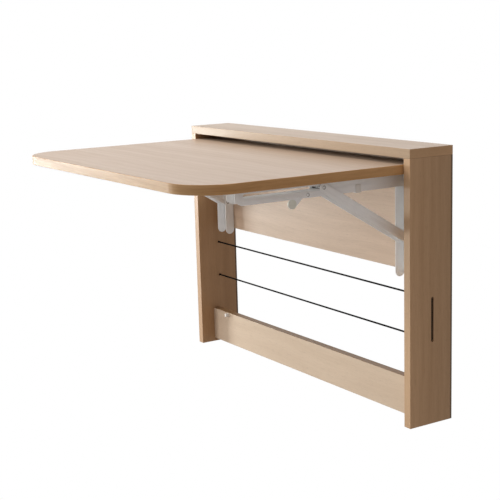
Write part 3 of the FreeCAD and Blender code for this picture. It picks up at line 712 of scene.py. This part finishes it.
def screw_grids(foot, axis, out, length, sunk):
    """One screw: a head on a polar grid, whose rise is a flattened dome less the cross recess, and a shank
    whose radius is a cosine of turn and place, one wave for each pitch, so that the ridge winds as a helix,
    times a taper at the point. The foot is the head's base on the screw's line."""
    angle = np.linspace(0.0, 2.0 * np.pi, screw_columns, endpoint=False)
    share = np.linspace(1.0, 0.0, screw_head_rows)[:, None]
    across = head_radius * share * np.cos(angle)
    up = head_radius * share * np.sin(angle)
    rim = head_height if sunk else rim_share * head_height
    dome = rim + (head_height - rim) * np.sqrt(np.clip(1.0 - share ** 2, 0.0, 1.0)) + 0.0 * angle
    recess = cross_recess(across, up)
    top = np.stack([dome - recess, across, up], axis=-1)
    base_radius = shank_radius if sunk else head_radius
    foot_rows = [np.stack([np.zeros(screw_columns), radius * np.cos(angle), radius * np.sin(angle)], axis=-1)
                 for radius in (0.0, base_radius)]
    head = np.concatenate([np.stack(foot_rows), top])
    marks = np.clip(recess / cross_depth * painted_cross_shade_gain, 0.0, 1.0)
    painted_shade = np.concatenate([np.zeros((2, screw_columns)), marks])
    turn = np.linspace(0.0, 2.0 * np.pi, shank_columns, endpoint=False)
    along_share = np.linspace(0.0, 1.0, shank_rows)[:, None]
    ridge = 0.5 + 0.5 * np.cos(turn + 2.0 * np.pi * along_share * length / thread_pitch)
    taper = np.clip((1.0 - along_share) / point_share, 0.0, 1.0)
    radius = shank_radius * taper * (thread_core_share + thread_ridge_share * ridge)
    radius[0] = 0.0
    drop = -along_share * length + 0.0 * turn
    shank = np.stack([drop, radius * np.cos(turn), radius * np.sin(turn)], axis=-1)
    first, second = other_parts(axis)
    placed = []
    for grid in (head, shank):
        points = np.empty(grid.shape)
        points[..., axis] = foot[axis] + out * grid[..., 0]
        points[..., first] = foot[first] + grid[..., 1]
        points[..., second] = foot[second] + grid[..., 2]
        placed.append(points)
    return placed, [painted_shade.ravel(), np.zeros(shank_rows * shank_columns)]


def screw_piece(node, axis, out, body, sunk):
    """All screws of a node, at the places where its solids stand."""
    points = node_points(node)
    low, high = points.min(axis=0), points.max(axis=0)
    outermost, innermost = (high[axis], low[axis]) if out > 0 else (low[axis], high[axis])
    foot = np.zeros(3)
    foot[axis] = outermost - out * head_height
    length = abs(innermost - foot[axis])
    first, second = other_parts(axis)
    grids = []
    painted_shade = []
    for place_first in middles(points[:, first], screw_gap):
        for place_second in middles(points[:, second], screw_gap):
            foot[first] = place_first
            foot[second] = place_second
            made, marks = screw_grids(foot, axis, out, length, sunk)
            grids += made
            painted_shade += marks
    closed_piece(node + "_turned", grids, dull_zinc, body, [node], np.concatenate(painted_shade),
                 sharp=50.0)


screw_piece("wall_arm_screws", 1, -1, "frame", False)
screw_piece("table_arm_screws", 2, -1, "tabletop", False)
screw_piece("cleat_screws", 1, 1, "frame", True)


# The springs of the latch levers.
# Torsion springs coiled from thin steel wire, with a straight leg at each end.
wire_radius = 0.4 * millimetre
wire_columns = 10
coil_radius = 3.0 * millimetre
coil_turns = 8
turn_rows = 28
long_leg = 22.0 * millimetre
long_leg_rows = 12
short_leg = 14.0 * millimetre
short_leg_rows = 8


def tube(path, radius, columns, reference):
    """A round tube along a path of points, closed at both ends. Each ring is path + radius·(n·cos a + b·sin a).
    Here b is the way along the path crossed with the reference, and n is b crossed with that way."""
    along = np.gradient(path, axis=0)
    along /= np.linalg.norm(along, axis=1, keepdims=True)
    beside = np.cross(along, reference)
    beside /= np.linalg.norm(beside, axis=1, keepdims=True)
    normal = np.cross(beside, along)
    angle = np.linspace(0.0, 2.0 * np.pi, columns, endpoint=False)[None, :, None]
    sizes = np.broadcast_to(radius, (len(path), columns))[..., None]
    rings = path[:, None] + sizes * (normal[:, None] * np.cos(angle) + beside[:, None] * np.sin(angle))
    ends = [np.repeat(path[place][None, None], columns, axis=1) for place in (0, -1)]
    return np.concatenate([ends[0], rings, ends[1]])


def spring_piece(side):
    """A tube along a straight leg from the front, a helix of even radius and pitch about X, and a straight
    leg towards the wall."""
    points = node_points(side + "_lever_spring")
    low, high = points.min(axis=0), points.max(axis=0)
    out = 1.0 if side == "right" else -1.0
    near, far = (low[0], high[0]) if out > 0 else (high[0], low[0])
    centre_y = low[1] + long_leg
    bottom = low[2] + wire_radius
    turn = np.linspace(0.0, 2.0 * np.pi * coil_turns, coil_turns * turn_rows + 1)
    share = turn / turn[-1]
    coil = np.column_stack([(far - out * wire_radius) * (1.0 - share) + (near + out * wire_radius) * share,
                            centre_y + coil_radius * np.sin(turn),
                            bottom + coil_radius * (1.0 - np.cos(turn))])
    front = np.linspace(long_leg, 0.0, long_leg_rows, endpoint=False)
    rear = np.linspace(0.0, short_leg, short_leg_rows + 1)[1:]
    front_leg = np.column_stack([np.full(long_leg_rows, coil[0, 0]), centre_y - front,
                                 np.full(long_leg_rows, bottom)])
    rear_leg = np.column_stack([np.full(short_leg_rows, coil[-1, 0]), centre_y + rear,
                                np.full(short_leg_rows, bottom)])
    path = np.concatenate([front_leg, coil, rear_leg])
    closed_piece(side + "_lever_spring_coil", [tube(path, wire_radius, wire_columns, (1.0, 0.0, 0.0))], zinc,
                 side + "_lever", [side + "_lever_spring"])


for side in sides:
    spring_piece(side)


# The folding brackets' sheet steel: wall arms, table arms, strut bars and latch levers, and the hinge bushes.
# Pressed channels and bars with rounded edges and a white powder coat that has a fine orange-peel skin. The
# bushes are white nylon and sit on the hinge pins.
powder_coat = metal_finish("white_powder_coat", colour=(0.93, 0.955, 0.975), shade=(0.895, 0.92, 0.94),
                           gloss=(0.32, 0.45), depth=0.00006, scale=650.0, metallic=0.0)
nylon = metal_finish("white_nylon", colour=(0.80, 0.80, 0.78), shade=(0.76, 0.76, 0.74), gloss=(0.35, 0.5),
                     depth=0.00003, scale=800.0, metallic=0.0)
merge_distance = 0.000002
flat_angle = 0.5
corner_angle = 40
edge_segments = 2
edge_round = 0.55 * millimetre
sheet_pieces = {"wall_arm": "frame", "table_arm": "tabletop", "strut_inner_bar": "{}_strut",
                "strut_outer_bar": "{}_strut", "latch_lever": "{}_lever"}


def rounded_copy(node, width, body, material):
    """A merged copy of a node's own mesh, with its flat faces joined and its sharp edges rounded by an even
    width."""
    mesh = nodes[node].data.copy()
    mesh.name = node + "_rounded"
    work = bmesh.new()
    work.from_mesh(mesh)
    bmesh.ops.remove_doubles(work, verts=work.verts, dist=merge_distance)
    bmesh.ops.dissolve_limit(work, angle_limit=math.radians(flat_angle), verts=work.verts, edges=work.edges)
    work.to_mesh(mesh)
    work.free()
    mesh.polygons.foreach_set("use_smooth", np.ones(len(mesh.polygons), bool))
    mesh.materials.clear()
    mesh.materials.append(material)
    piece = bpy.data.objects.new(node + "_rounded", mesh)
    bpy.context.scene.collection.objects.link(piece)
    rounding = piece.modifiers.new("rounded_edges", "BEVEL")
    rounding.limit_method = "ANGLE"
    rounding.angle_limit = math.radians(corner_angle)
    rounding.width = width
    rounding.segments = edge_segments
    rounding.harden_normals = True
    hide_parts(node)
    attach(piece, body)


for side in sides:
    for name, body in sheet_pieces.items():
        rounded_copy(side + "_" + name, edge_round, body.format(side), powder_coat)
    rounded_copy(side + "_hinge_bushes", edge_round, "frame", nylon)


# The thumb caps of the latch levers.
# Pale grey-green plastic caps pressed over the levers' round tabs, with a ribbed grip on both faces.
cap_plastic = metal_finish("cap_plastic", colour=(0.80, 0.83, 0.76), shade=(0.75, 0.78, 0.70),
                           gloss=(0.3, 0.45), depth=0.00003, scale=800.0, metallic=0.0)
tab_radius = 8.5 * millimetre
tab_thickness = 4.0 * millimetre
cap_overlap = 0.35 * millimetre
cap_edge = 1.1 * millimetre
cap_columns = 72
cap_face_rows = 16
cap_edge_rows = 9
rib_pitch = 1.9 * millimetre
rib_depth = 0.2 * millimetre
ribbed_share = 0.86
fading_share = 0.08


def thumb_cap(side):
    """A disc about the lever's tab. Its rim is a half ellipse, and on its faces the thickness falls and rises
    as a cosine of the height, inside a ring that stays plain."""
    points = node_points(side + "_latch_lever")
    low, high = points.min(axis=0), points.max(axis=0)
    centre = np.array([0.0, low[1] + tab_radius, low[2] + tab_radius])
    middle = high[0] - tab_thickness / 2 if side == "right" else low[0] + tab_thickness / 2
    half = tab_thickness / 2 + cap_overlap
    plain = tab_radius + cap_overlap - cap_edge
    face = plain * np.linspace(0.0, 1.0, cap_face_rows)
    turn = np.linspace(0.0, np.pi, cap_edge_rows + 2)[1:-1]
    rows = np.concatenate([np.column_stack([np.full(cap_face_rows, half), face]),
                           np.column_stack([half * np.cos(turn), plain + cap_edge * np.sin(turn)]),
                           np.column_stack([np.full(cap_face_rows, -half), face[::-1]])])
    grid = turned(rows + (middle, 0.0), centre, 0, cap_columns)
    from_middle = np.hypot(grid[..., 1] - centre[1], grid[..., 2] - centre[2])
    inside_share = np.clip((plain * ribbed_share - from_middle) / (plain * fading_share), 0.0, 1.0)
    ribs = 0.5 - 0.5 * np.cos(2.0 * np.pi * (grid[..., 2] - centre[2]) / rib_pitch)
    grid[..., 0] -= np.sign(grid[..., 0] - middle) * rib_depth * ribs * inside_share
    closed_piece(side + "_thumb_cap", [grid], cap_plastic, side + "_lever")


for side in sides:
    thumb_cap(side)


# The clips on the table arms.
# Moulded white nylon, pushed over the channel from below.
clip_round = 0.5 * millimetre
for side in sides:
    rounded_copy(side + "_arm_clip", clip_round, "tabletop", nylon)


# The bumper on the rail.
# Soft white rubber, turned to a low dome with a slight hollow in its middle, on a stem in the rail.
rubber = metal_finish("white_rubber", colour=(0.86, 0.86, 0.85), shade=(0.82, 0.82, 0.81), gloss=(0.5, 0.65),
                      depth=0.00004, scale=700.0, metallic=0.0)
stem_radius = 1.6 * millimetre
stem_length = 7.0 * millimetre
bumper_rows = 22
dome_share = 0.2
dimple_share = 0.05
dimple_reach_share = 0.6
wall_top_share = 0.4
wall_foot_share = 0.05
foot_radius_share = 0.97


def bumper_piece():
    """A dome whose rise is a square root towards its edge, less a cosine hollow in its middle."""
    low, high = node_box("rail_bumper")
    radius = (high[0] - low[0]) / 2
    foot = high[1] - stem_length
    height = foot - low[1]
    share = np.linspace(1.0, 0.0, bumper_rows)
    crown = (1.0 - dome_share) * height + dome_share * height * np.sqrt(1.0 - share ** 2)
    hollow = dimple_share * height * (1.0 + np.cos(np.pi * np.clip(share / dimple_reach_share, 0.0, 1.0)))
    head = np.column_stack([foot - (crown - hollow), radius * share])
    rest = [(foot - height * wall_top_share, radius), (foot - height * wall_foot_share, radius),
            (foot, radius * foot_radius_share), (foot, stem_radius), (high[1] - stem_radius / 2, stem_radius),
            (high[1], stem_radius / 2), (high[1], 0.0)]
    profile = np.concatenate([head[::-1], rest])
    closed_piece("rail_bumper_rubber", [turned(profile, (low + high) / 2, 1)], rubber, "frame",
                 ["rail_bumper"])


bumper_piece()


# The elastic cord.
# One round black elastic with a woven cover. It runs across the window, down the groove in the right panel
# and back, pulled tight between its two knots.
cord_low, cord_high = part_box("elastic_cord")
cord_radius = (cord_high.y - cord_low.y) / 2
cord_start = cord_low.x
cord_far = cord_high.x - cord_radius
cord_upper = cord_high.z - cord_radius
cord_lower = cord_low.z + cord_radius
cord_bend = 6.0 * millimetre
cord_columns = 24
cord_rows = 2600
line_steps = 64
line_order = 3
braid_strands = 6
braid_repeat = 2.9 * millimetre
braid_relief = 0.11 * millimetre
# The hollows between the yarns are painted darker still, a painted shade.
woven_black = metal_finish("black_woven_elastic", colour=(0.005, 0.0045, 0.0045), shade=(0.003, 0.003, 0.003),
                           gloss=(0.75, 0.9), depth=0.00005, scale=1500.0, metallic=0.0, specular=0.06,
                           painted_shade=(0.001, 0.001, 0.001))


def spline_points(name, route):
    """The points of a smooth curve whose control points are the route."""
    curve = bpy.data.curves.new(name, "CURVE")
    curve.dimensions = "3D"
    curve.resolution_u = line_steps
    spline = curve.splines.new("NURBS")
    spline.points.add(len(route) - 1)
    spline.points.foreach_set("co", np.column_stack([route, np.ones(len(route))]).ravel())
    spline.order_u = line_order
    spline.use_endpoint_u = True
    holder = bpy.data.objects.new(name, curve)
    read = bpy.data.meshes.new_from_object(holder)
    points = np.empty(len(read.vertices) * 3)
    read.vertices.foreach_get("co", points)
    bpy.data.objects.remove(holder)
    bpy.data.curves.remove(curve)
    bpy.data.meshes.remove(read)
    return points.reshape(-1, 3)


def evenly_read(points, count):
    """A line of points read again at even distances along it, and those distances."""
    steps = np.linalg.norm(np.diff(points, axis=0), axis=1)
    distance = np.concatenate([[0.0], np.cumsum(steps)])
    places = np.linspace(0.0, distance[-1], count)
    return np.column_stack([np.interp(places, distance, points[:, part]) for part in range(3)]), places


def cord_piece():
    """A tube whose radius is the cord's, less a relief of max(cos(m·a + k·s), cos(m·a − k·s)), the diamonds
    that two sets of crossing yarns make. Here a is the angle round the cord and s the distance along it."""
    middle = (cord_low.y + cord_high.y) / 2
    route = np.array([(cord_start, middle, cord_upper),
                      (cord_far - cord_bend, middle, cord_upper),
                      (cord_far, middle, cord_upper),
                      (cord_far, middle, cord_upper - cord_bend),
                      (cord_far, middle, cord_lower + cord_bend),
                      (cord_far, middle, cord_lower),
                      (cord_far - cord_bend, middle, cord_lower),
                      (cord_start, middle, cord_lower)])
    path, places = evenly_read(spline_points("cord_line", route), cord_rows)
    angle = np.linspace(0.0, 2.0 * np.pi, cord_columns, endpoint=False)
    wave = 2.0 * np.pi * places[:, None] / braid_repeat
    raised = np.maximum(np.cos(braid_strands * angle + wave), np.cos(braid_strands * angle - wave))
    sunk = 0.5 - 0.5 * raised
    shell = tube(path, cord_radius - braid_relief * sunk, cord_columns, (0.0, 1.0, 0.0))
    ends = np.zeros((1, cord_columns))
    closed_piece("elastic_cord_woven", [shell], woven_black, "frame", ["elastic_cord"],
                 np.concatenate([ends, sunk, ends]), sharp=180.0)


cord_piece()


# The knots at the cord's ends.
# Overhand knots pulled up in round pockets in the left panel's outer face, each with a short cut tail.
knot_radius = 1.25 * millimetre
knot_step = 1.15 * millimetre
knot_rise = 1.45 * millimetre
knot_gap = 20.0 * millimetre
knot_columns = 16
knot_rows = 120
tail_rows = 14
tail_radius_share = 0.95
tail_out_shares = (0.2, 1.5)
tail_side_share = 2.2
tail_up_shares = (0.4, 0.8)


def knot_pieces():
    """Closed trefoils: (x, y, z) = (rise·sin 3t, step·(sin t + 2·sin 2t), step·(cos t − 2·cos 2t)), and for
    each a short tail from the knot's outer side, whose height grows as a square."""
    points = node_points("cord_knots")
    centre_x = (points[:, 0].min() + points[:, 0].max()) / 2
    centre_y = (points[:, 1].min() + points[:, 1].max()) / 2
    turn = np.linspace(0.0, 2.0 * np.pi, knot_rows)
    slope = np.linspace(0.0, 1.0, tail_rows)
    grids = []
    for centre_z in middles(points[:, 2], knot_gap):
        loop = np.column_stack([centre_x + knot_rise * np.sin(3.0 * turn),
                                centre_y + knot_step * (np.sin(turn) + 2.0 * np.sin(2.0 * turn)),
                                centre_z + knot_step * (np.cos(turn) - 2.0 * np.cos(2.0 * turn))])
        tail = np.column_stack([centre_x - knot_rise * (tail_out_shares[0] + tail_out_shares[1] * slope),
                                centre_y + knot_step * tail_side_share * slope,
                                centre_z + knot_step * (tail_up_shares[0] + tail_up_shares[1] * slope ** 2)])
        grids.append(tube(loop, knot_radius, knot_columns, (1.0, 0.0, 0.0)))
        grids.append(tube(tail, knot_radius * tail_radius_share, knot_columns, (1.0, 0.0, 0.0)))
    closed_piece("cord_knots_tied", grids, woven_black, "frame", ["cord_knots"], sharp=60.0)


knot_pieces()
